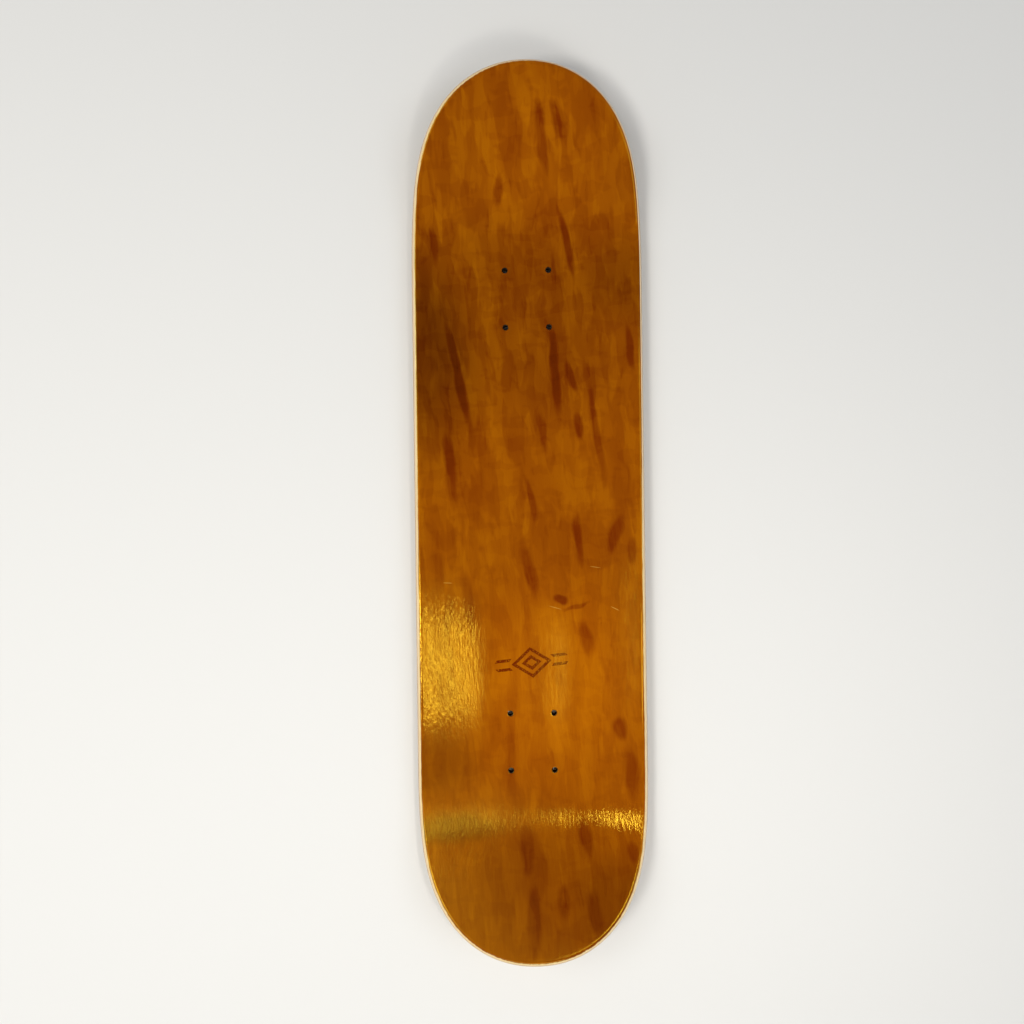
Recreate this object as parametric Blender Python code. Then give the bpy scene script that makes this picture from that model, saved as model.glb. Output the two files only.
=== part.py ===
"""Bare skateboard deck: seven maple veneers pressed into one curved board and drilled for two trucks.

Frame, in metres: the deck lies on its flat belly with nose and tail turned up. The origin is under the
belly's centre line, midway between the tips. +Y points to the nose, +Z up, and +X to the right of a rider
facing the nose. The functions below work from a point midway between the trucks, and main() moves the
finished veneers to the origin.
"""

import math

import bmesh
import bpy
from mathutils import Matrix, Vector
from mathutils.geometry import delaunay_2d_cdt

# Driving dimensions, in metres. Width, reaches and outline are measured half-way through the thickness.
WIDTH = 0.2159
WHEELBASE = 0.3651
BOLT_PITCH_ALONG = 0.053975
BOLT_PITCH_ACROSS = 0.041275
BOLT_HOLE_RADIUS = 0.0026
NOSE_REACH = 0.1785  # from the outer bolt row to the nose tip, in plan
TAIL_REACH = 0.1675  # the same at the tail

# The outline tapers along a superellipse from each taper's start to its tip:
# (x / half the width) ** ACROSS + (distance past the start / length of the taper) ** ALONG = 1.
NOSE_TAPER_START = 0.206
NOSE_ALONG, NOSE_ACROSS = 3.7, 2.07
TAIL_TAPER_START = 0.231
TAIL_ALONG, TAIL_ACROSS = 3.0, 2.12

# The press mould: flat along the belly, a dished cross-section, and a bend into each kick.
FLAT_HALF_WIDTH = 0.030
CONCAVE_DEPTH = 0.011
CONCAVE_CUBIC = 0.35  # how far the dish straightens towards the rails
CONCAVE_LEFT_AT_TIPS = 0.45
KICK_SETBACK = 0.026  # from the outer bolt row to the start of the bend
KICK_RADIUS = 0.120
NOSE_ANGLE = math.radians(21)
TAIL_ANGLE = math.radians(20)

# The layup, from the standing side down, and the rounded rails.
VENEER = 0.0015
GLUE_LINE = 0.0001
RAIL_RADIUS = 0.0048
STAINED_MAPLE = (0.330, 0.100, 0.008, 1.0)
PALE_MAPLE = (0.720, 0.520, 0.320, 1.0)
LACQUERED, BARE = 0.28, 0.55
LAYUP = (
    ("top_face_veneer", STAINED_MAPLE, LACQUERED),
    ("upper_core_veneer", PALE_MAPLE, BARE),
    ("upper_crossband_veneer", PALE_MAPLE, BARE),
    ("middle_core_veneer", PALE_MAPLE, BARE),
    ("lower_crossband_veneer", PALE_MAPLE, BARE),
    ("lower_core_veneer", PALE_MAPLE, BARE),
    ("bottom_face_veneer", PALE_MAPLE, LACQUERED),
)

# How finely the mesh follows the shape.
TAPER_STEPS = 13
SIDE_STEPS = 5
HOLE_SIDES = 12
BEND_STEPS = 4
KICK_STEPS = 5
DISH_LINES = 4
RAIL_MARGIN = 0.009  # inner points keep this far inside the outline, clear of the rounded rail
RAIL_ARC_STEPS = 2
SHARP_ANGLE = math.radians(35)
MERGE_DISTANCE = 1e-6

HALF_WIDTH = WIDTH / 2
OUTER_BOLTS = WHEELBASE / 2 + BOLT_PITCH_ALONG
NOSE_TIP = OUTER_BOLTS + NOSE_REACH
TAIL_TIP = OUTER_BOLTS + TAIL_REACH
BEND_START = OUTER_BOLTS + KICK_SETBACK
THICKNESS = len(LAYUP) * VENEER + (len(LAYUP) - 1) * GLUE_LINE


def kick_rise(y):
    """Height and slope that the bends add at y: an arc, then a straight ramp to the tip."""
    angle = NOSE_ANGLE if y > 0 else TAIL_ANGLE
    run = max(abs(y) - BEND_START, 0.0)
    on_bend = min(run, KICK_RADIUS * math.sin(angle))
    rise = KICK_RADIUS - math.sqrt(KICK_RADIUS**2 - on_bend**2)
    rise += (run - on_bend) * math.tan(angle)
    return rise, math.copysign(on_bend / math.sqrt(KICK_RADIUS**2 - on_bend**2), y)


def dish_share(y):
    """How much of the dish is left at y, and how fast that changes: all of it up to the bends."""
    tip = NOSE_TIP if y > 0 else TAIL_TIP
    span = tip - BEND_START
    run = min(max((abs(y) - BEND_START) / span, 0.0), 1.0)
    lost = 1 - CONCAVE_LEFT_AT_TIPS
    share = 1 - lost * run * run * (3 - 2 * run)
    return share, -math.copysign(lost * 6 * run * (1 - run) / span, y)


def dish_rise(x):
    """Height and slope of the full dish at x: flat in the middle, rising to the rails."""
    span = HALF_WIDTH - FLAT_HALF_WIDTH
    t = max(abs(x) - FLAT_HALF_WIDTH, 0.0) / span
    rise = CONCAVE_DEPTH * ((1 + CONCAVE_CUBIC) * t**2 - CONCAVE_CUBIC * t**3)
    slope = CONCAVE_DEPTH * (2 * (1 + CONCAVE_CUBIC) * t - 3 * CONCAVE_CUBIC * t**2) / span
    return rise, math.copysign(slope, x)


def pressed(x, y, depth):
    """The point at a depth below the standing side, measured square to the middle surface at (x, y)."""
    kick, kick_slope = kick_rise(y)
    dish, dish_slope = dish_rise(x)
    share, share_slope = dish_share(y)
    normal = Vector((-dish_slope * share, -kick_slope - dish * share_slope, 1)).normalized()
    middle = Vector((x, y, THICKNESS / 2 + kick + dish * share))
    return middle + normal * (THICKNESS / 2 - depth)


def taper(angle, start, tip, along, across):
    """A point of the outline's right side, from the taper's start at angle 0 to its tip at 90 degrees."""
    x = HALF_WIDTH * max(math.cos(angle), 0.0) ** (2 / across)
    return x, start + (tip - start) * math.sin(angle) ** (2 / along)


def outline():
    """The plan outline, counterclockwise from the tail tip, with no point twice."""
    angles = [math.pi / 2 * i / TAPER_STEPS for i in range(TAPER_STEPS)]
    nose = [taper(a, NOSE_TAPER_START, NOSE_TIP, NOSE_ALONG, NOSE_ACROSS) for a in angles]
    tail = [taper(a, TAIL_TAPER_START, TAIL_TIP, TAIL_ALONG, TAIL_ACROSS) for a in angles]
    side_length = NOSE_TAPER_START + TAIL_TAPER_START
    side = [
        (HALF_WIDTH, -TAIL_TAPER_START + side_length * i / SIDE_STEPS)
        for i in range(1, SIDE_STEPS)
    ]
    right = [(x, -y) for x, y in reversed(tail)] + side + nose
    left = [(-x, y) for x, y in reversed(right)]
    return [(0.0, -TAIL_TIP)] + right + [(0.0, NOSE_TIP)] + left


def inward_normals(loop):
    """For each point of a counterclockwise loop, the unit direction to its inside."""
    normals = []
    for i, here in enumerate(loop):
        before, after = loop[i - 1], loop[(i + 1) % len(loop)]
        back = (Vector(here) - Vector(before)).normalized()
        ahead = (Vector(after) - Vector(here)).normalized()
        tangent = back + ahead
        normals.append(Vector((-tangent.y, tangent.x)).normalized())
    return normals


def rail_inset(depth):
    """How far the rounded rail draws the outline in at a depth: a quarter circle at each face."""
    from_face = min(depth, THICKNESS - depth)
    short = max(RAIL_RADIUS - from_face, 0.0)
    return RAIL_RADIUS - math.sqrt(RAIL_RADIUS**2 - short**2)


def bolt_holes():
    """The centres of the eight truck bolts."""
    rows = (WHEELBASE / 2, OUTER_BOLTS)
    half_pitch = BOLT_PITCH_ACROSS / 2
    return [(side * half_pitch, end * row) for end in (1, -1) for row in rows for side in (1, -1)]


def hole_loop(centre):
    """The points round a bolt hole."""
    turns = [2 * math.pi * i / HOLE_SIDES for i in range(HOLE_SIDES)]
    return [
        (centre[0] + BOLT_HOLE_RADIUS * math.cos(a), centre[1] + BOLT_HOLE_RADIUS * math.sin(a))
        for a in turns
    ]


def stations():
    """Where the inner rows of points lie along the board: few on the belly, more round each bend."""
    rows = [0.0]
    for end, angle, tip in ((1, NOSE_ANGLE, NOSE_TIP), (-1, TAIL_ANGLE, TAIL_TIP)):
        bend_end = BEND_START + KICK_RADIUS * math.sin(angle)
        belly = [WHEELBASE / 4, WHEELBASE / 2, OUTER_BOLTS]
        bend = [BEND_START + (bend_end - BEND_START) * i / BEND_STEPS for i in range(BEND_STEPS + 1)]
        ramp = [bend_end + (tip - bend_end) * i / KICK_STEPS for i in range(1, KICK_STEPS)]
        rows += [end * y for y in belly + bend + ramp]
    return rows


def inner_points(loop):
    """Points inside the outline that carry the curve of the dish and of the kicks."""
    dish_span = HALF_WIDTH - FLAT_HALF_WIDTH
    lines = [FLAT_HALF_WIDTH + dish_span * i / DISH_LINES for i in range(DISH_LINES)]
    edges = [(Vector(loop[i - 1]), Vector(here)) for i, here in enumerate(loop)]
    found = []
    for y in stations():
        for x in [side * line for line in lines for side in (1, -1)]:
            point = Vector((x, y))
            if min(distance_to(point, a, b) for a, b in edges) > RAIL_MARGIN and inside(x, y):
                found.append((x, y))
    return found


def distance_to(point, a, b):
    """How far a point is from the segment from a to b."""
    along = min(max((point - a).dot(b - a) / (b - a).length_squared, 0.0), 1.0)
    return (point - a - (b - a) * along).length


def inside(x, y):
    """Whether (x, y) is inside the plan outline, by its superellipses."""
    if y > 0:
        start, tip, along, across = NOSE_TAPER_START, NOSE_TIP, NOSE_ALONG, NOSE_ACROSS
    else:
        start, tip, along, across = TAIL_TAPER_START, TAIL_TIP, TAIL_ALONG, TAIL_ACROSS
    run = max((abs(y) - start) / (tip - start), 0.0)
    return (abs(x) / HALF_WIDTH) ** across + run**along < 1


class Pattern:
    """The flat pattern that all veneers share: its points, triangles, outline and holes."""

    def __init__(self):
        self.rail = outline()
        self.inward = inward_normals(self.rail)
        holes = [hole_loop(centre) for centre in bolt_holes()]
        self.points = self.rail + [p for loop in holes for p in loop]
        self.hole_loops = [
            [len(self.rail) + i * HOLE_SIDES + k for k in range(HOLE_SIDES)]
            for i in range(len(holes))
        ]
        self.points += inner_points(self.rail)
        loops = [list(range(len(self.rail)))] + self.hole_loops
        edges = [(loop[i - 1], here) for loop in loops for i, here in enumerate(loop)]
        points = [Vector(p) for p in self.points]
        made = delaunay_2d_cdt(points, edges, [], 1, MERGE_DISTANCE)
        source = [ids[0] for ids in made[3]]
        faces = [[source[i] for i in face] for face in made[2]]
        in_hole = [set(loop) for loop in self.hole_loops]
        self.faces = [f for f in faces if not any(set(f) <= hole for hole in in_hole)]

    def placed(self, index, depth):
        """A point of the pattern, pressed at a depth, drawn in by the rail if it is on the outline."""
        at = Vector(self.points[index])
        if index < len(self.rail):
            at += self.inward[index] * rail_inset(depth)
        return pressed(at.x, at.y, depth)


def rail_depths(top, bottom):
    """The depths of a veneer's edge rings: its two faces, and steps where the rail is most curved."""
    depths = {top, bottom}
    for i in range(1, RAIL_ARC_STEPS + 1):
        arc = RAIL_RADIUS * (1 - math.cos(math.radians(45) * i / (RAIL_ARC_STEPS + 1)))
        depths |= {d for d in (arc, THICKNESS - arc) if top < d < bottom}
    return sorted(depths)


def veneer_mesh(name, pattern, top, bottom):
    """One closed veneer between two depths: its faces, the rail's edge rings and the holes' walls."""
    bm = bmesh.new()
    upper = [bm.verts.new(pattern.placed(i, top)) for i in range(len(pattern.points))]
    lower = [bm.verts.new(pattern.placed(i, bottom)) for i in range(len(pattern.points))]
    for face in pattern.faces:
        bm.faces.new([upper[i] for i in face])
        bm.faces.new([lower[i] for i in reversed(face)])
    rail = range(len(pattern.rail))
    rings = [[upper[i] for i in rail]]
    for depth in rail_depths(top, bottom)[1:-1]:
        rings.append([bm.verts.new(pattern.placed(i, depth)) for i in rail])
    rings.append([lower[i] for i in rail])
    walls = list(zip(rings, rings[1:]))
    walls += [([upper[i] for i in loop], [lower[i] for i in loop]) for loop in pattern.hole_loops]
    for above, below in walls:
        for i in range(len(above)):
            bm.faces.new((above[i], above[i - 1], below[i - 1], below[i]))
    bmesh.ops.recalc_face_normals(bm, faces=bm.faces)
    mesh = bpy.data.meshes.new(name)
    bm.to_mesh(mesh)
    bm.free()
    mesh.shade_smooth()
    mesh.set_sharp_from_angle(angle=SHARP_ANGLE)
    return mesh


def wood(name, colour, roughness):
    """A plain finish for one veneer."""
    material = bpy.data.materials.new(name)
    material.use_nodes = True
    shader = material.node_tree.nodes["Principled BSDF"]
    shader.inputs["Base Color"].default_value = colour
    shader.inputs["Roughness"].default_value = roughness
    shader.inputs["Metallic"].default_value = 0.0
    return material


def middle_between_tips(meshes):
    """Half-way along the pressed board, whose nose and tail differ in reach and in tilt."""
    along = [vertex.co.y for mesh in meshes for vertex in mesh.vertices]
    return (min(along) + max(along)) / 2


def main():
    for leftover in list(bpy.data.objects):
        bpy.data.objects.remove(leftover)
    pattern = Pattern()
    meshes = []
    for number, (name, colour, roughness) in enumerate(LAYUP):
        top = number * (VENEER + GLUE_LINE)
        mesh = veneer_mesh(name, pattern, top, top + VENEER)
        mesh.materials.append(wood(name + "_finish", colour, roughness))
        bpy.context.scene.collection.objects.link(bpy.data.objects.new(name, mesh))
        meshes.append(mesh)
    to_origin = Matrix.Translation((0, -middle_between_tips(meshes), 0))
    for mesh in meshes:
        mesh.transform(to_origin)


main()
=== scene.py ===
"""The looks of the bare skateboard deck: seven fine-meshed veneers, their finishes, light and camera.

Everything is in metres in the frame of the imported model: the deck lies on its belly, nose towards +Y. The
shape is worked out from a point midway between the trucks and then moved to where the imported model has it.
"""

import functools
import math

import bpy
import numpy as np
from mathutils import Matrix, Vector
from mathutils.geometry import delaunay_2d_cdt

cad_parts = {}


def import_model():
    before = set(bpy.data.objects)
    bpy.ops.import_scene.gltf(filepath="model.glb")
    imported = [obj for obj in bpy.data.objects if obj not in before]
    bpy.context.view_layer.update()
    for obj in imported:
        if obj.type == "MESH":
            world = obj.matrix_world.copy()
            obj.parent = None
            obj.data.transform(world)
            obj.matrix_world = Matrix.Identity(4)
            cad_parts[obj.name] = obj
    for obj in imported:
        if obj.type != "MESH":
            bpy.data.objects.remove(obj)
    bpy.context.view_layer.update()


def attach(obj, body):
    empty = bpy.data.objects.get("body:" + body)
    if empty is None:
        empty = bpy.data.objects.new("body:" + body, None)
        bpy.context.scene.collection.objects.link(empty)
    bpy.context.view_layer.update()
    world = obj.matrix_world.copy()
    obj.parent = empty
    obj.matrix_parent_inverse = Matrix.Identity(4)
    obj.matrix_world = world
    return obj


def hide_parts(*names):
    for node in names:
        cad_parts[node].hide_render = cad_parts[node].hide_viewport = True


# The board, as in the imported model: width, reaches and outline are measured half-way through the thickness.
WIDTH = 0.2159
WHEELBASE = 0.3651
BOLT_PITCH_ALONG = 0.053975
BOLT_PITCH_ACROSS = 0.041275
BOLT_HOLE_RADIUS = 0.0026
NOSE_REACH = 0.1785
TAIL_REACH = 0.1675
NOSE_TAPER_START = 0.206
NOSE_ALONG, NOSE_ACROSS = 3.7, 2.07
TAIL_TAPER_START = 0.231
TAIL_ALONG, TAIL_ACROSS = 3.0, 2.12
FLAT_HALF_WIDTH = 0.030
CONCAVE_DEPTH = 0.011
CONCAVE_CUBIC = 0.35
CONCAVE_LEFT_AT_TIPS = 0.45
KICK_SETBACK = 0.026
KICK_RADIUS = 0.120
NOSE_ANGLE = math.radians(21)
TAIL_ANGLE = math.radians(20)
VENEER = 0.0015
GLUE_LINE = 0.0001
RAIL_RADIUS = 0.0048
PLIES = 7

HALF_WIDTH = WIDTH / 2
OUTER_BOLTS = WHEELBASE / 2 + BOLT_PITCH_ALONG
NOSE_TIP = OUTER_BOLTS + NOSE_REACH
TAIL_TIP = OUTER_BOLTS + TAIL_REACH
BEND_START = OUTER_BOLTS + KICK_SETBACK
PITCH = VENEER + GLUE_LINE
THICKNESS = PLIES * VENEER + (PLIES - 1) * GLUE_LINE

# How finely the visible veneers are meshed. Their glue lines are drawn, so the gaps between them are
# closed to a hair.
SEAM = 0.00002
HOLE_LIP = 0.0003
OUTLINE_STEP = 0.003
OUTLINE_SAMPLES = 4000
HOLE_SIDES = 32
RAIL_STEPS = 15
LIP_STEPS = 3
LINE_SPACING = 0.006
BELLY_SPACING = 0.018
BEND_SPACING = 0.004
RAMP_SPACING = 0.009
RAIL_COLLAR = 0.0060
HOLE_COLLARS = (0.0036, 0.0050)
RAIL_MARGIN = 0.0085
HOLE_MARGIN = 0.0075
SHARP_ANGLE = math.radians(30)
MERGE_DISTANCE = 1e-7

# Camera: straight above the deck, its foot a little off the middle between the trucks, turned a touch.
CAMERA_HEIGHT = 0.900
CAMERA_FOOT = (-0.0167, 0.0080)
CAMERA_TURN = math.radians(-0.75)
CAMERA_LENS = 33.45
CAMERA_NEAR = 0.010

# Studio: the floor and the distances between which it fades into the horizon, the sky by height, and the
# lamps with their place, size, watts and colour.
FLOOR_SIZE = 60.0
FLOOR_GAP = 0.0001
FLOOR_FADE = (0.8, 3.6)
FLOOR_COLOUR = (0.70, 0.70, 0.69, 1)
BLACK = (0, 0, 0, 1)
HORIZON = (0.66, 0.67, 0.68, 1)
HORIZON_HEIGHT = 0.20
OVERHEAD = (0.15, 0.15, 0.16, 1)
OVERHEAD_HEIGHT = 0.85
DAYLIGHT = (1.0, 0.97, 0.90)
WARM_WHITE = (1.0, 0.95, 0.86)
SOFT_WHITE = (1.0, 0.98, 0.94)
COOL_WHITE = (0.94, 0.97, 1.0)
# These face straight down. The first is mirrored where the tail bends up, the others along the left rail.
HANGING_LAMPS = (
    ("upper_left_lamp", (-0.76, -0.33, 1.60), (0.46, 0.34), 14.0, DAYLIGHT),
    ("right_lamp", (0.190, -0.270, 0.80), (0.140, 0.184), 0.98, WARM_WHITE),
    ("right_core_lamp", (0.186, -0.300, 0.80), (0.050, 0.120), 0.80, WARM_WHITE),
    ("right_inner_lamp", (0.095, -0.287, 0.80), (0.060, 0.150), 0.08, WARM_WHITE),
)
# These stand round the board and face it.
STANDING_LAMPS = (
    ("tail_side_lamp", (0.10, -2.60, 3.40), (1.8, 1.4), 32, SOFT_WHITE),
    ("left_wall_lamp", (-2.70, 1.00, 3.30), (1.8, 1.8), 42, SOFT_WHITE),
    ("right_wall_lamp", (2.70, 0.00, 3.30), (1.8, 1.8), 29, COOL_WHITE),
)


def kick_rise(y):
    """Height and slope that the bends add at y: an arc, then a straight ramp to the tip."""
    angle = NOSE_ANGLE if y > 0 else TAIL_ANGLE
    run = max(abs(y) - BEND_START, 0.0)
    on_bend = min(run, KICK_RADIUS * math.sin(angle))
    rise = KICK_RADIUS - math.sqrt(KICK_RADIUS**2 - on_bend**2)
    rise += (run - on_bend) * math.tan(angle)
    return rise, math.copysign(on_bend / math.sqrt(KICK_RADIUS**2 - on_bend**2), y)


def dish_share(y):
    """How much of the dish is left at y, and how fast that changes."""
    tip = NOSE_TIP if y > 0 else TAIL_TIP
    span = tip - BEND_START
    run = min(max((abs(y) - BEND_START) / span, 0.0), 1.0)
    lost = 1 - CONCAVE_LEFT_AT_TIPS
    share = 1 - lost * run * run * (3 - 2 * run)
    return share, -math.copysign(lost * 6 * run * (1 - run) / span, y)


def dish_rise(x):
    """Height and slope of the full dish at x: flat in the middle, rising to the rails."""
    span = HALF_WIDTH - FLAT_HALF_WIDTH
    t = max(abs(x) - FLAT_HALF_WIDTH, 0.0) / span
    rise = CONCAVE_DEPTH * ((1 + CONCAVE_CUBIC) * t**2 - CONCAVE_CUBIC * t**3)
    slope = CONCAVE_DEPTH * (2 * (1 + CONCAVE_CUBIC) * t - 3 * CONCAVE_CUBIC * t**2) / span
    return rise, math.copysign(slope, x)


def pressed(x, y, depth):
    """The point at a depth below the standing side, measured square to the middle surface at (x, y)."""
    kick, kick_slope = kick_rise(y)
    dish, dish_slope = dish_rise(x)
    share, share_slope = dish_share(y)
    normal = Vector((-dish_slope * share, -kick_slope - dish * share_slope, 1)).normalized()
    middle = Vector((x, y, THICKNESS / 2 + kick + dish * share))
    return middle + normal * (THICKNESS / 2 - depth)


def half_width_at(y):
    """The outline's half-width at y, by the superellipse of the nose or of the tail."""
    if y > 0:
        start, tip, along, across = NOSE_TAPER_START, NOSE_TIP, NOSE_ALONG, NOSE_ACROSS
    else:
        start, tip, along, across = TAIL_TAPER_START, TAIL_TIP, TAIL_ALONG, TAIL_ACROSS
    run = min(max((abs(y) - start) / (tip - start), 0.0), 1.0)
    return HALF_WIDTH * (1 - run**along) ** (1 / across)


def outline():
    """The plan outline, counterclockwise from the tail tip, in even steps."""
    turn = np.linspace(-math.pi / 2, math.pi / 2, OUTLINE_SAMPLES)
    along = np.where(turn < 0, TAIL_TIP, NOSE_TIP) * np.sin(turn)
    across = np.array([half_width_at(y) for y in along])
    run = np.concatenate([[0], np.cumsum(np.hypot(np.diff(along), np.diff(across)))])
    even = np.linspace(0, run[-1], round(run[-1] / OUTLINE_STEP) + 1)
    right = list(zip(np.interp(even, run, across), np.interp(even, run, along)))
    left = [(-x, y) for x, y in reversed(right[1:-1])]
    return right + left


def eased(depth, radius):
    """How far an edge rounded over at both faces draws back at a depth."""
    from_face = max(min(depth, THICKNESS - depth), 0.0)
    short = max(radius - from_face, 0.0)
    return radius - math.sqrt(radius**2 - short**2)


def edge_depths(top, bottom, radius, steps):
    """The depths of a veneer's edge rings: its two faces, and even steps round the rounding between."""
    arc = [radius * (1 - math.cos(math.pi / 2 * i / steps)) for i in range(steps + 1)]
    turns = {d for a in arc for d in (a, THICKNESS - a) if top + SEAM < d < bottom - SEAM}
    return [top] + sorted(turns) + [bottom]


def spread(start, end, spacing):
    """Even stops from start to end, no further apart than the spacing, without the end."""
    count = math.ceil((end - start) / spacing)
    return [start + (end - start) * i / count for i in range(count)]


def stations():
    """Where the rows of inner points lie along the board: close together only where it bends."""
    rows = []
    for end, angle, tip in ((1, NOSE_ANGLE, NOSE_TIP), (-1, TAIL_ANGLE, TAIL_TIP)):
        bend_end = BEND_START + KICK_RADIUS * math.sin(angle)
        stops = spread(0, BEND_START, BELLY_SPACING)
        stops += spread(BEND_START, bend_end, BEND_SPACING) + spread(bend_end, tip, RAMP_SPACING)
        rows += [end * y for y in stops if end > 0 or y > 0]
    return rows


def bolt_holes():
    """Where the eight bolt holes are, in plan."""
    rows = (WHEELBASE / 2, OUTER_BOLTS)
    half_pitch = BOLT_PITCH_ACROSS / 2
    return [(side * half_pitch, end * row) for end in (1, -1) for row in rows for side in (1, -1)]


class Pattern:
    """The flat pattern all veneers share: outline, bolt holes, inner points and the triangles between."""

    def __init__(self):
        rail = outline()
        self.rail = list(range(len(rail)))
        before, after = np.roll(rail, 1, axis=0), np.roll(rail, -1, axis=0)
        tangent = after - before
        inward = np.stack([-tangent[:, 1], tangent[:, 0]], axis=1)
        self.points = [Vector(p) for p in rail]
        self.push = [Vector(n).normalized() for n in inward]
        self.holes = []
        for centre in bolt_holes():
            self.holes.append([len(self.points) + i for i in range(HOLE_SIDES)])
            for i in range(HOLE_SIDES):
                turn = 2 * math.pi * i / HOLE_SIDES
                outward = Vector((math.cos(turn), math.sin(turn)))
                self.points.append(Vector(centre) + outward * BOLT_HOLE_RADIUS)
                self.push.append(outward)
        for radius in HOLE_COLLARS:
            for centre in bolt_holes():
                self.points += [Vector(centre) + outward * radius for outward in self.push[-HOLE_SIDES:]]
        self.points += [self.points[i] + self.push[i] * RAIL_COLLAR for i in self.rail]
        self.points += self.inner_points(np.array(rail))
        loops = [self.rail] + self.holes
        edges = [(loop[i - 1], here) for loop in loops for i, here in enumerate(loop)]
        made = delaunay_2d_cdt(self.points, edges, [], 1, MERGE_DISTANCE)
        source = [ids[0] for ids in made[3]]
        in_hole = [set(loop) for loop in self.holes]
        faces = [[source[i] for i in face] for face in made[2]]
        self.faces = [f for f in faces if not any(set(f) <= hole for hole in in_hole)]

    def inner_points(self, rail):
        """A grid of points that keeps clear of the rail and of the holes."""
        holes = np.array(bolt_holes())
        half = spread(0, HALF_WIDTH, LINE_SPACING)
        found = []
        for y in stations():
            for x in [-x for x in half if x > 0] + half:
                from_rail = np.hypot(*(rail - (x, y)).T).min()
                from_hole = np.hypot(*(holes - (x, y)).T).min()
                if abs(x) < half_width_at(y) and from_rail > RAIL_MARGIN and from_hole > HOLE_MARGIN:
                    found.append(Vector((x, y)))
        return found

    def flat(self, index, depth):
        """A point's place in plan at a depth, drawn back where the rail or a hole's lip is rounded."""
        if index < len(self.rail):
            return self.points[index] + self.push[index] * eased(depth, RAIL_RADIUS)
        if index < len(self.push):
            return self.points[index] + self.push[index] * eased(depth, HOLE_LIP)
        return self.points[index]


def veneer_mesh(name, pattern, top, bottom):
    """One closed veneer. Its "board" attribute keeps each point as it was before pressing."""
    flat, faces = [], []

    def ring(indices, depth):
        flat.extend((*pattern.flat(i, depth), depth) for i in indices)
        return list(range(len(flat) - len(indices), len(flat)))

    everything = range(len(pattern.points))
    upper, lower = ring(everything, top), ring(everything, bottom)
    faces += [[upper[i] for i in f] for f in pattern.faces]
    faces += [[lower[i] for i in reversed(f)] for f in pattern.faces]
    edges = [(pattern.rail, RAIL_RADIUS, RAIL_STEPS)] + [(h, HOLE_LIP, LIP_STEPS) for h in pattern.holes]
    for loop, radius, steps in edges:
        inner = [ring(loop, d) for d in edge_depths(top, bottom, radius, steps)[1:-1]]
        rings = [[upper[i] for i in loop]] + inner + [[lower[i] for i in loop]]
        outward = 1 if loop is pattern.rail else -1
        for above, below in zip(rings, rings[1:]):
            for i in range(len(loop)):
                quad = (above[i], above[i - 1], below[i - 1], below[i])
                faces.append(quad[::outward])
    mesh = bpy.data.meshes.new(name)
    mesh.from_pydata([pressed(*at) for at in flat], [], faces)
    board = mesh.attributes.new("board", "FLOAT_VECTOR", "POINT")
    board.data.foreach_set("vector", np.array(flat, dtype=np.float32).ravel())
    mesh.shade_smooth()
    mesh.set_sharp_from_angle(angle=SHARP_ANGLE)
    return mesh


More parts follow.
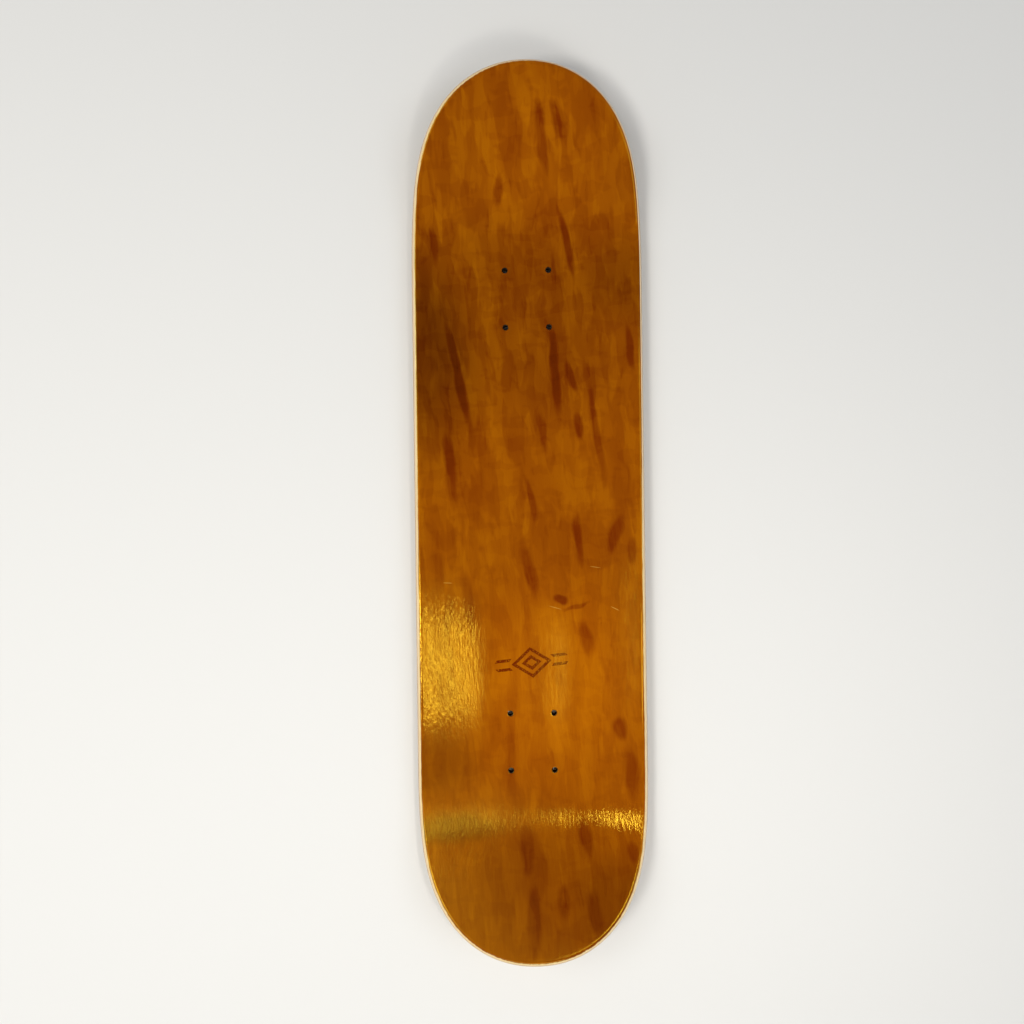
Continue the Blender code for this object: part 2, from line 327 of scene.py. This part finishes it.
class Shader:
    """A material in the making: its Principled BSDF, and short ways to add the nodes that feed it."""

    def __init__(self, name):
        self.material = bpy.data.materials.new(name)
        self.material.use_nodes = True
        self.tree = self.material.node_tree
        self.surface = self.tree.nodes["Principled BSDF"]
        self.board = self.node("Attribute", attribute_name="board").outputs["Vector"]

    def node(self, kind, feeds=(), **settings):
        """A new node with its settings, and with a link or a value fed to each socket in feeds."""
        node = self.tree.nodes.new("ShaderNode" + kind)
        for setting, value in settings.items():
            setattr(node, setting, value)
        for socket, value in dict(feeds).items():
            self.feed(node.inputs[socket], value)
        return node

    def feed(self, socket, value):
        if isinstance(value, bpy.types.NodeSocket):
            self.tree.links.new(value, socket)
        else:
            socket.default_value = value

    def set(self, **values):
        """Feeds the Principled BSDF, each keyword naming a socket with _ for its spaces."""
        for socket, value in values.items():
            self.feed(self.surface.inputs[socket.replace("_", " ")], value)

    def math(self, operation, *values, clamp=False):
        return self.node("Math", enumerate(values), operation=operation, use_clamp=clamp).outputs[0]

    def step(self, value, low, high):
        """0 below low, 1 above high, and a smooth rise between them."""
        feeds = {"Value": value, "From Min": low, "From Max": high}
        return self.node("MapRange", feeds, interpolation_type="SMOOTHSTEP").outputs["Result"]

    def noise(self, place, size, detail=2.0, roughness=0.5, distortion=0.0, shift=(0, 0, 0)):
        """Noise between 0 and 1 whose features are about size = (across, along, deep) metres."""
        feeds = {"Vector": place, "Scale": [1 / s for s in size], "Location": shift}
        scaled = self.node("Mapping", feeds).outputs["Vector"]
        feeds = {"Vector": scaled, "Scale": 1.0, "Detail": detail, "Roughness": roughness}
        return self.node("TexNoise", {**feeds, "Distortion": distortion}).outputs["Fac"]

    def spot(self, place, centre, half_size, lean):
        """1 at the centre of an ellipse in plan, falling to 0 at its edge."""
        own = self.turned(place, centre, lean, half_size)
        return self.node("TexGradient", {"Vector": own}, gradient_type="SPHERICAL").outputs["Fac"]

    def turned(self, place, centre, lean, unit=(1, 1)):
        """The place as seen from a centre in plan, turned by a lean and measured in units of its own."""
        feeds = {"Vector": place, "Location": (*centre, 0), "Rotation": (0, 0, lean), "Scale": (*unit, 1)}
        return self.node("Mapping", feeds, vector_type="TEXTURE").outputs["Vector"]

    def mix(self, factor, first, second, blend="MIX"):
        """The first colour at a factor of 0, and the second at 1."""
        feeds = {0: factor, 6: first, 7: second}
        return self.node("Mix", feeds, data_type="RGBA", blend_type=blend).outputs[2]

    def ramp(self, value, *stops):
        """A colour ramp from 0 to 1 with a (position, colour) for each stop, in order."""
        node = self.node("ValToRGB", {"Fac": value})
        elements = node.color_ramp.elements
        for position, _ in stops[1:-1]:
            elements.new(position)
        for element, (_, colour) in zip(elements, stops):
            element.color = (*colour, 1)
        return node.outputs["Color"]

    def bump(self, height, distance, strength, normal=None):
        """A normal bumped by a height, on top of another bump where one is given."""
        feeds = {"Height": height, "Distance": distance, "Strength": strength}
        if normal:
            feeds["Normal"] = normal
        return self.node("Bump", feeds).outputs["Normal"]

    def total(self, *values):
        return functools.reduce(lambda one, other: self.math("ADD", one, other), values)

    def around(self, value, swing):
        """A noise value turned into a swing either side of 0."""
        return self.math("MULTIPLY_ADD", value, 2 * swing, -swing)

    def growing(self, value, span, least, gain):
        """A strength that is least before a span of the value and gains over it."""
        return self.math("MULTIPLY_ADD", self.step(value, *span), gain, least)


# Dark streaks and patches in the stained maple, placed where the deck has them: across and along
# from midway between the trucks, half-width, half-length (mm), lean (degrees) and depth of tone.
STREAKS = (
    (38, 263, 6, 40, 13, 0.34),
    (14, 355, 6, 40, 9, 0.22),
    (29, 368, 6, 22, 15, 0.20),
    (-27, 311, 7, 17, -6, 0.26),
    (-88, 260, 5, 22, 6, 0.16),
    (-68, 140, 6, 66, 12, 0.32),
    (25, 137, 6, 55, 4, 0.22),
    (40, 135, 5, 18, 12, 0.24),
    (46, 89, 6, 18, 7, 0.26),
    (65, 80, 5, 56, 8, 0.20),
    (96, 160, 5, 28, 9, 0.20),
    (-75, 49, 8, 42, 6, 0.20),
    (1, 19, 5, 26, 13, 0.20),
    (14, 83, 5, 24, 8, 0.16),
    (81, -14, 7, 24, -19, 0.20),
    (47, -17, 6, 32, 10, 0.20),
    (0, -48, 8, 36, 13, 0.16),
    (96, -29, 7, 16, 4, 0.22),
    (28, -75, 9, 6, -20, 0.30),
    (44, -82, 17, 3, 12, 0.20),
    (-78, -83, 6, 34, -5, 0.14),
    (-60, -79, 7, 40, 8, 0.16),
    (52, -112, 9, 22, 15, 0.20),
    (84, -197, 8, 14, 0, 0.24),
    (94, -243, 10, 36, 11, 0.18),
    (-21, -226, 6, 52, 3, 0.10),
    (49, -302, 6, 24, 7, 0.18),
    (-7, -309, 9, 28, 4, 0.16),
    (91, -312, 8, 12, 0, 0.20),
    (-1, -369, 8, 38, 0, 0.22),
    (25, -353, 8, 18, 0, 0.14),
    (56, -362, 9, 24, 11, 0.20),
)
# Painted light and shade over the stain, broad patches in the same terms: a positive depth paints shade, a
# negative one paints light.
PAINTED_LIGHT_AND_SHADE = (
    (-110, 160, 80, 150, 8, 0.44),
    (110, 225, 70, 60, 0, 0.22),
    (0, 190, 160, 140, 0, 0.20),
    (20, -150, 120, 130, 0, -0.24),
    (-100, -228, 66, 46, 0, 0.22),
    (10, -355, 170, 105, 0, 0.26),
    (80, -360, 60, 60, 0, 0.16),
    (-80, -289, 70, 20, 0, 0.42),
    (20, 330, 90, 110, 0, -0.10),
)
# How far the painted light and shade shift the stain's tone, and how much they scale its colour.
PAINTED_PATCH_TONE = 0.20
PAINTED_PATCH_SHADE = 0.80
# Where the wood was brushed harder before it was lacquered, in the same terms.
BRUSHED = (
    (95, -282, 110, 18, 0, 0.50),
    (-80, -290, 100, 60, 0, 0.60),
    (-90, -130, 60, 100, 0, 0.40),
)
# Short pale scratches in the lacquer, in the same terms.
SCRATCHES = (
    (62, -45, 0.4, 6, 82, 0.35),
    (80, -84, 0.5, 5, 64, 0.45),
    (-79, -58, 0.5, 5, 86, 0.40),
    (23, -83, 0.4, 7, 74, 0.40),
)

# The stain from darkest to lightest, by tone.
AMBER = (
    (0.00, (0.085, 0.0050, 0.0003)),
    (0.25, (0.150, 0.0180, 0.0004)),
    (0.50, (0.255, 0.0590, 0.0007)),
    (0.72, (0.370, 0.1100, 0.0010)),
    (1.00, (0.560, 0.2150, 0.0016)),
)
MIDDLE_TONE = 0.525
STREAK_STRENGTH = 0.90
# Noise blotches over the stain: across and along (mm), the level they start at, half the width of their
# rim in the same measure, their depth of tone, and a shift to a stretch of noise of their own.
FIGURE_ALONG_GRAIN = (
    (50, 120, 0.50, 0.050, -0.055, (2, 5, 0)),
    (16, 70, 0.50, 0.035, -0.075, (9, 2, 0)),
    (11, 45, 0.55, 0.030, 0.040, (5, 3, 0)),
    (6.5, 36, 0.62, 0.040, -0.045, (5, 7, 0)),
)
FIGURE_ACROSS_GRAIN = (34, 16, 0.53, 0.030, -0.040, (8, 8, 0))
FIGURE_LIFT = 0.045
# How far the tone swings with broad noise, and with each of the grain and the fibre.
BROAD_SWING = 0.10
HAIR_SWING = 0.06
# The nose half has the livelier figure and the tail half more of the fine grain: the stretch along the
# board over which each grows, its least strength and its gain.
LIVELY_FIGURE = ((-0.100, 0.200), 0.80, 0.45)
FINE_GRAIN = ((0.060, -0.060), 0.30, 0.40)
# How the grain wanders: slowly across the board, and quickly across and along it.
SLOW_SWAY = 0.007
QUICK_SWAY = (0.0012, 0.004)
GRAIN_LEAN = math.radians(-4)
# How deep the features of a noise on a face reach: so far that they are the same all through the ply.
FLAT = 0.1
# Noise levels between which a dark fleck grows and worn ink comes back, and how dark each is at most.
FLECK_LEVELS = (0.68, 0.78)
FLECK_DEPTH = 0.40
INK_LEVELS = (0.30, 0.46)
INK_DEPTH = 0.90
# The rounded rail is sanded bare: the depths between which the stain ends, how ragged its border is, and
# how much lower it reaches towards the nose's right, as along + slant * across grows over a span.
STAIN_END = (0.00055, 0.00120)
STAIN_RAGGED = 0.0004
STAIN_LOWER = 0.0010
NOSE_RIGHT_SLANT = 3.0
NOSE_RIGHT = (0.22, 0.52)
# The lacquer: how rough and how glossy it is, how much rougher where dull and where that is, how brushed
# it is everywhere, and how high fibres and pores stand out under it.
LACQUER_ROUGHNESS = 0.11
LACQUER_GLOSS = 0.75
DULL_ROUGHNESS = 0.14
DULL_ALONG = (-0.215, -0.285)
DULL_ACROSS = (0.040, -0.040)
BRUSHED_EVERYWHERE = 0.09
FIBRE_HEIGHT = 0.00070
PORE_HEIGHT = 0.00030

# Colours: gloss of the lacquer, marks on the stain, painted shade for the bolt holes, and the plain woods
# from dark to pale.
GOLD = (1.0, 0.69, 0.045, 1.0)
SCRATCH = (0.62, 0.36, 0.06, 1.0)
INK = (0.110, 0.004, 0.0004, 1.0)
# Painted shade for the walls and lips of the bolt holes, where shade falls.
PAINTED_HOLE_SHADE = (0.018, 0.005, 0.002, 1.0)
SANDED_MAPLE = (0.78, 0.62, 0.32, 1.0)
PLY_SIDE = ((0.60, 0.40, 0.20, 1), (0.84, 0.68, 0.44, 1))
PLY_END = ((0.26, 0.13, 0.055, 1), (0.52, 0.33, 0.16, 1))
GLUE = (0.16, 0.075, 0.03, 1)
CLEAR_MAPLE = ((0.52, 0.33, 0.16, 1), (0.80, 0.62, 0.39, 1))
BROAD_TINT = (0.84, 0.68, 0.48, 1)
LINE_TINT = (0.80, 0.62, 0.42, 1)

# How far painted shade reaches from a bolt hole over the top face, and along the edge of a ply, and how dark
# it is.
PAINTED_SHADE_ON_FACE = 0.0006
PAINTED_SHADE_ON_EDGE = 0.0010
PAINTED_HOLE_SHADE_DEPTH = 0.9
# The sanded edge of a ply: half the height of the glue line drawn on it and how dark that is, noise levels
# between which pores are pale, and the roughness of clean wood and of the painted shade round the bolt holes.
GLUE_HALF_HEIGHT = 0.00009
GLUE_DEPTH = 0.65
PORE_LEVELS = (0.35, 0.65)
EDGE_ROUGHNESS = 0.42
HOLE_ROUGHNESS = 0.92

# The stamped sign: reach of its lozenge, the two sizes of it and the bars beside it, with half their width.
EMBLEM_PLACE = (0.0, -0.1345)
EMBLEM_LEAN = math.radians(6)
LOZENGE_REACH = (0.0190, 0.0145)
LOZENGE_SIZES = (0.89, 0.38)
LOZENGE_LINE = 0.12
BAR_MIDDLE = (0.0305, 0.0042)
BAR_HALF = (0.0070, 0.0014)
BAR_SLANT = 0.9


def millimetres(*values):
    """Values given in millimetres, in metres."""
    return [value / 1000 for value in values]


def spots(shader, place, table, rim=0.75):
    """One signal for each row of a table above: its depth inside, 0 outside, soft at the rim."""
    found = []
    for across, along, half_width, half_length, lean, depth in table:
        centre, half_size = millimetres(across, along), millimetres(half_width, half_length)
        spot = shader.spot(place, centre, half_size, math.radians(lean))
        found.append(shader.math("MULTIPLY", shader.step(spot, 0.0, rim), depth))
    return found


def blotches(shader, place, across, along, level, softness, depth, shift):
    """Patches with clear borders where a noise rises over a level."""
    size = (*millimetres(across, along), FLAT)
    noise = shader.noise(place, size, detail=2, roughness=0.55, shift=shift)
    return shader.math("MULTIPLY", shader.step(noise, level - softness, level + softness), depth)


def swaying_grain(shader):
    """The place on the board, shifted from spot to spot as the grain wanders, and the same leaning over."""
    slow = shader.noise(shader.board, (0.040, 0.070, FLAT), detail=2)
    quick = shader.noise(shader.board, (0.012, 0.030, FLAT), detail=1, shift=(3, 1, 0))
    across, along = [shader.around(quick, swing) for swing in QUICK_SWAY]
    sway = {"X": shader.math("ADD", shader.around(slow, SLOW_SWAY), across), "Y": along}
    offset = shader.node("CombineXYZ", sway).outputs[0]
    swayed = shader.node("VectorMath", {0: shader.board, 1: offset}, operation="ADD").outputs[0]
    feeds = {"Vector": swayed, "Angle": GRAIN_LEAN}
    return swayed, shader.node("VectorRotate", feeds, rotation_type="Z_AXIS").outputs[0]


def stained_tone(shader, swayed, leaning):
    """How light the stain is at each place, about 0.5 on average."""
    along = shader.node("SeparateXYZ", {0: shader.board}).outputs["Y"]
    broad = shader.noise(leaning, (0.024, 0.090, FLAT), detail=2, shift=(1, 1, 0))
    grain = shader.noise(leaning, (0.0016, 0.022, FLAT), detail=2, shift=(1, 8, 0))
    fibre = shader.noise(swayed, (0.0007, 0.011, FLAT), detail=2, shift=(4, 6, 0))
    figure = shader.total(
        FIGURE_LIFT,
        *(blotches(shader, leaning, *row) for row in FIGURE_ALONG_GRAIN),
        blotches(shader, swayed, *FIGURE_ACROSS_GRAIN),
        shader.around(broad, BROAD_SWING),
    )
    hair = shader.math("ADD", shader.around(grain, HAIR_SWING), shader.around(fibre, HAIR_SWING))
    streaks = shader.total(*spots(shader, swayed, STREAKS, rim=0.55))
    return shader.total(
        MIDDLE_TONE,
        shader.math("MULTIPLY", figure, shader.growing(along, *LIVELY_FIGURE)),
        shader.math("MULTIPLY", hair, shader.growing(along, *FINE_GRAIN)),
        shader.math("MULTIPLY", streaks, -STREAK_STRENGTH),
    )


def emblem(shader):
    """A plain stamped sign, 1 where it is inked: a lozenge in a lozenge between two pairs of bars."""
    own = shader.turned(shader.board, EMBLEM_PLACE, EMBLEM_LEAN)
    across, along = shader.node("SeparateXYZ", {0: own}).outputs[:2]
    x, y = shader.math("ABSOLUTE", across), shader.math("ABSOLUTE", along)
    reaches = [shader.math("DIVIDE", *pair) for pair in zip((x, y), LOZENGE_REACH)]
    lozenge = shader.math("ADD", *reaches)
    lozenges = [shader.math("COMPARE", lozenge, size, LOZENGE_LINE) for size in LOZENGE_SIZES]
    slanted = shader.math("ADD", x, shader.math("MULTIPLY", y, BAR_SLANT))
    bars = [shader.math("COMPARE", *terms) for terms in zip((slanted, y), BAR_MIDDLE, BAR_HALF)]
    return shader.total(*lozenges, shader.math("MULTIPLY", *bars))


def near_holes(shader, reach):
    """1 at the wall of a bolt hole, falling to 0 at a reach from it."""
    across, along = shader.node("SeparateXYZ", {0: shader.board}).outputs[:2]
    x = shader.math("SUBTRACT", shader.math("ABSOLUTE", across), BOLT_PITCH_ACROSS / 2)
    y = shader.math("SUBTRACT", shader.math("ABSOLUTE", along), (WHEELBASE + BOLT_PITCH_ALONG) / 2)
    y = shader.math("SUBTRACT", shader.math("ABSOLUTE", y), BOLT_PITCH_ALONG / 2)
    place = shader.node("CombineXYZ", {"X": x, "Y": y}).outputs[0]
    distance = shader.node("VectorMath", {0: place}, operation="LENGTH").outputs["Value"]
    return shader.math("SUBTRACT", 1.0, shader.step(distance, BOLT_HOLE_RADIUS, BOLT_HOLE_RADIUS + reach))


def stained_colour(shader, swayed, leaning):
    """The colour of the stain, with broad patches of painted light and shade over it."""
    # Painted light and shade: broad patches darken or lighten the stain's colour.
    painted_light_and_shade = shader.total(*spots(shader, swayed, PAINTED_LIGHT_AND_SHADE))
    tone = shader.math("MULTIPLY_ADD", painted_light_and_shade, -PAINTED_PATCH_TONE, stained_tone(shader, swayed, leaning))
    shade = shader.math("MULTIPLY_ADD", painted_light_and_shade, -PAINTED_PATCH_SHADE, 1.0)
    feeds = {0: shader.ramp(tone, *AMBER), "Scale": shade}
    return shader.node("VectorMath", feeds, operation="SCALE").outputs[0]


def marked(shader, swayed, colour):
    """The colour with dark flecks, scratches in the lacquer and the worn stamped sign on it."""
    specks = shader.noise(swayed, (0.0006, 0.0040, FLAT), detail=1, shift=(2, 3, 0))
    flecks = shader.math("MULTIPLY", shader.step(specks, *FLECK_LEVELS), FLECK_DEPTH)
    colour = shader.mix(flecks, colour, INK)
    scratched = shader.total(*spots(shader, shader.board, SCRATCHES, rim=0.3))
    colour = shader.mix(scratched, colour, SCRATCH)
    wear = shader.noise(swayed, (0.0011, 0.0016, FLAT), detail=2)
    unworn = shader.math("MULTIPLY", shader.step(wear, *INK_LEVELS), INK_DEPTH)
    return shader.mix(shader.math("MULTIPLY", emblem(shader), unworn, clamp=True), colour, INK)


def sanded(shader, swayed, colour):
    """The colour, but bare maple where the rail rounds over."""
    across, along, depth = shader.node("SeparateXYZ", {0: shader.board}).outputs[:3]
    border = shader.noise(swayed, (0.0030, 0.0200, FLAT), detail=2, shift=(6, 6, 0))
    nose_right = shader.step(shader.math("MULTIPLY_ADD", across, NOSE_RIGHT_SLANT, along), *NOSE_RIGHT)
    lower = shader.math("MULTIPLY_ADD", nose_right, STAIN_LOWER, shader.around(border, STAIN_RAGGED))
    bare = shader.step(shader.math("SUBTRACT", depth, lower), *STAIN_END)
    return shader.mix(bare, colour, SANDED_MAPLE)


def brushed_normal(shader, leaning):
    """The lacquer's surface, which follows fibres and pores, more so where the wood was brushed."""
    fibres = shader.noise(leaning, (0.0026, 0.0140, FLAT), detail=3, roughness=0.6, shift=(7, 7, 0))
    pores = shader.noise(leaning, (0.0014, 0.0050, FLAT), detail=2, shift=(6, 1, 0))
    brushed = shader.total(BRUSHED_EVERYWHERE, *spots(shader, shader.board, BRUSHED, rim=0.8))
    normal = shader.bump(fibres, FIBRE_HEIGHT, brushed)
    return shader.bump(pores, PORE_HEIGHT, brushed, normal)


def stained_maple():
    """Amber-brown stained maple under satin lacquer, duller at the tail's left and in the bolt holes, with
    shade painted into the holes.
    """
    shader = Shader("stained_maple")
    swayed, leaning = swaying_grain(shader)
    colour = marked(shader, swayed, stained_colour(shader, swayed, leaning))
    # Painted shade: the top face darkens into the bolt holes, where shade falls.
    hole = near_holes(shader, PAINTED_SHADE_ON_FACE)
    hole_shade = shader.math("MULTIPLY", hole, PAINTED_HOLE_SHADE_DEPTH)
    colour = shader.mix(hole_shade, sanded(shader, swayed, colour), PAINTED_HOLE_SHADE)
    across, along = shader.node("SeparateXYZ", {0: shader.board}).outputs[:2]
    tail_left = shader.math("MULTIPLY", shader.step(along, *DULL_ALONG), shader.step(across, *DULL_ACROSS))
    dull = shader.math("MAXIMUM", tail_left, hole)
    roughness = shader.math("MULTIPLY_ADD", dull, DULL_ROUGHNESS, LACQUER_ROUGHNESS)
    shader.set(Base_Color=colour, Roughness=roughness, Normal=brushed_normal(shader, leaning))
    shader.set(Specular_IOR_Level=LACQUER_GLOSS, Specular_Tint=GOLD)
    return shader.material


def natural_colour(shader, place, dark, pale):
    """Unstained maple: long grain and short fine lines between a dark and a pale tone."""
    grain = shader.noise(place, (0.0040, 0.090, 0.0040), detail=3, roughness=0.6, distortion=0.4)
    fine = shader.noise(place, (0.0006, 0.012, 0.0006), detail=2, shift=(3, 5, 1))
    tone = shader.total(0.5, shader.around(grain, 0.45), shader.around(fine, 0.18))
    return shader.mix(shader.math("ADD", tone, 0.0, clamp=True), dark, pale)


def ply_edge(name, along_board, shift):
    """Sanded edge of a veneer: pale where it runs with the grain, dark and dotted where it cuts across."""
    shader = Shader(name)
    grain = (0, 1, 0) if along_board else (1, 0, 0)
    normal = shader.node("NewGeometry").outputs["Normal"]
    facing = shader.node("VectorMath", {0: normal, 1: grain}, operation="DOT_PRODUCT").outputs["Value"]
    cut = shader.math("POWER", shader.math("ABSOLUTE", facing), 1.5)
    turn = 0.0 if along_board else math.pi / 2
    feeds = {"Vector": shader.board, "Angle": turn}
    turned = shader.node("VectorRotate", feeds, rotation_type="Z_AXIS").outputs[0]
    moved = shader.node("VectorMath", {0: turned, 1: (shift, 0, 0)}, operation="ADD").outputs[0]
    side = natural_colour(shader, moved, *PLY_SIDE)
    dots = shader.noise(shader.board, (0.0005, 0.0005, 0.0003), detail=2, shift=(shift, 0, 0))
    end = shader.mix(shader.step(dots, *PORE_LEVELS), *PLY_END)
    colour = shader.mix(cut, side, end)
    depth = shader.node("SeparateXYZ", {0: shader.board}).outputs["Z"]
    into = shader.math("MODULO", shader.math("ADD", depth, PITCH / 2), PITCH)
    glue = shader.math("COMPARE", into, PITCH / 2, GLUE_HALF_HEIGHT)
    colour = shader.mix(shader.math("MULTIPLY", glue, GLUE_DEPTH), colour, GLUE)
    # Painted shade: the ply edges darken round the bolt holes, where shade falls, and lose their coat there.
    clear = shader.math("SUBTRACT", 1.0, near_holes(shader, PAINTED_SHADE_ON_EDGE))
    colour = shader.mix(clear, PAINTED_HOLE_SHADE, colour)
    shader.set(Base_Color=colour, Coat_Weight=shader.math("MULTIPLY", clear, 0.35), Coat_Roughness=0.22)
    roughness = shader.math("MULTIPLY_ADD", clear, EDGE_ROUGHNESS - HOLE_ROUGHNESS, HOLE_ROUGHNESS)
    shader.set(Roughness=roughness)
    shader.set(Normal=shader.bump(dots, 0.00004, 0.5))
    return shader.material


def natural_maple():
    """Clear-lacquered maple of the underside."""
    shader = Shader("natural_maple")
    slow = shader.noise(shader.board, (0.070, 0.200, FLAT), detail=2, shift=(2, 4, 0))
    offset = shader.node("CombineXYZ", {"X": shader.around(slow, 0.030)}).outputs[0]
    swayed = shader.node("VectorMath", {0: shader.board, 1: offset}, operation="ADD").outputs[0]
    colour = natural_colour(shader, swayed, *CLEAR_MAPLE)
    broad = shader.noise(swayed, (0.030, 0.160, FLAT), detail=3)
    colour = shader.mix(shader.step(broad, 0.40, 0.75), colour, BROAD_TINT, "MULTIPLY")
    lines = shader.noise(swayed, (0.0016, 0.120, FLAT), detail=3, roughness=0.65, shift=(1, 9, 0))
    colour = shader.mix(shader.step(lines, 0.52, 0.68), colour, LINE_TINT, "MULTIPLY")
    fibres = shader.noise(swayed, (0.0011, 0.014, FLAT), detail=3, shift=(7, 7, 0))
    shader.set(Base_Color=colour, Roughness=0.38, Coat_Weight=0.45, Coat_Roughness=0.14)
    shader.set(Normal=shader.bump(fibres, 0.00005, 0.7))
    return shader.material


def veneers():
    """Builds the seven plies, from the standing side down, each in place of its CAD node.

    Returns how far the middle of the board lies towards the nose from midway between the trucks.
    """
    stained = stained_maple()
    finishes = (
        ("top_face_veneer", "stained_top_face", stained),
        ("upper_core_veneer", "long_grain_core", ply_edge("upper_core_maple", True, 0.31)),
        ("upper_crossband_veneer", "crossband_core", ply_edge("upper_crossband_maple", False, 0.57)),
        ("middle_core_veneer", "long_grain_core", ply_edge("middle_core_maple", True, 0.83)),
        ("lower_crossband_veneer", "crossband_core", ply_edge("lower_crossband_maple", False, 1.19)),
        ("lower_core_veneer", "long_grain_core", ply_edge("lower_core_maple", True, 1.43)),
        ("bottom_face_veneer", "lacquered_bottom_face", natural_maple()),
    )
    pattern = Pattern()
    tops = [number * PITCH for number in range(PLIES)]
    bottoms = [top - SEAM for top in tops[1:]] + [THICKNESS]
    names = ["fine_" + node for node, _, _ in finishes]
    meshes = [veneer_mesh(name, pattern, *depths) for name, *depths in zip(names, tops, bottoms)]
    along = [vertex.co.y for mesh in meshes for vertex in mesh.vertices]
    middle = (min(along) + max(along)) / 2
    for mesh, (node, slot, finish) in zip(meshes, finishes):
        mesh.transform(Matrix.Translation((0, -middle, 0)))
        mesh.materials.append(finish)
        piece = bpy.data.objects.new(mesh.name, mesh)
        bpy.context.scene.collection.objects.link(piece)
        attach(piece, "root")
        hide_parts(node)
    return middle


def floor():
    """A pale floor that fades into the horizon far away."""
    bpy.ops.mesh.primitive_plane_add(size=FLOOR_SIZE, location=(0, 0, -FLOOR_GAP))
    plane = bpy.context.object
    plane.name = "floor"
    shader = Shader("pale_floor")
    place = shader.node("TexCoord").outputs["Object"]
    away = shader.node("VectorMath", {0: place}, operation="LENGTH").outputs["Value"]
    far = shader.step(away, *FLOOR_FADE)
    shader.set(Base_Color=shader.mix(far, FLOOR_COLOUR, BLACK), Roughness=0.75)
    shader.set(Emission_Color=HORIZON, Emission_Strength=far, Specular_IOR_Level=0.0)
    plane.data.materials.append(shader.material)


def camera(middle):
    """Looks straight down at the deck, whose middle lies that far from midway between the trucks."""
    data = bpy.data.cameras.new("camera")
    data.lens = CAMERA_LENS
    data.clip_start = CAMERA_NEAR
    data.clip_end = FLOOR_SIZE
    seen = bpy.data.objects.new("camera", data)
    seen.location = (CAMERA_FOOT[0], CAMERA_FOOT[1] - middle, THICKNESS + CAMERA_HEIGHT)
    seen.rotation_euler = (0, 0, CAMERA_TURN)
    bpy.context.scene.collection.objects.link(seen)
    bpy.context.scene.camera = seen


def softbox(name, place, size, power, colour, aim):
    """A rectangular lamp that faces its aim."""
    data = bpy.data.lights.new(name, "AREA")
    data.shape = "RECTANGLE"
    data.size, data.size_y = size
    data.energy = power
    data.color = colour
    lamp = bpy.data.objects.new(name, data)
    lamp.location = place
    lamp.rotation_euler = (Vector(aim) - Vector(place)).to_track_quat("-Z", "Y").to_euler()
    bpy.context.scene.collection.objects.link(lamp)


def sky():
    """A pale studio all round that darkens overhead."""
    world = bpy.data.worlds.new("studio")
    bpy.context.scene.world = world
    world.use_nodes = True
    tree = world.node_tree
    background = tree.nodes["Background"]
    where = tree.nodes.new("ShaderNodeTexCoord")
    split = tree.nodes.new("ShaderNodeSeparateXYZ")
    ramp = tree.nodes.new("ShaderNodeValToRGB")
    tree.links.new(where.outputs["Generated"], split.inputs[0])
    tree.links.new(split.outputs["Z"], ramp.inputs["Fac"])
    tree.links.new(ramp.outputs["Color"], background.inputs["Color"])
    low, high = ramp.color_ramp.elements
    low.position, low.color = HORIZON_HEIGHT, HORIZON
    high.position, high.color = OVERHEAD_HEIGHT, OVERHEAD


def lights():
    """Hangs and stands the lamps, with the sky behind them."""
    for name, place, *settings in HANGING_LAMPS:
        softbox(name, place, *settings, aim=(place[0], place[1], 0))
    for lamp in STANDING_LAMPS:
        softbox(*lamp, aim=(0, 0, 0))
    sky()


def main():
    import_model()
    middle = veneers()
    floor()
    lights()
    camera(middle)
    bpy.context.scene.view_settings.view_transform = "Standard"


main()
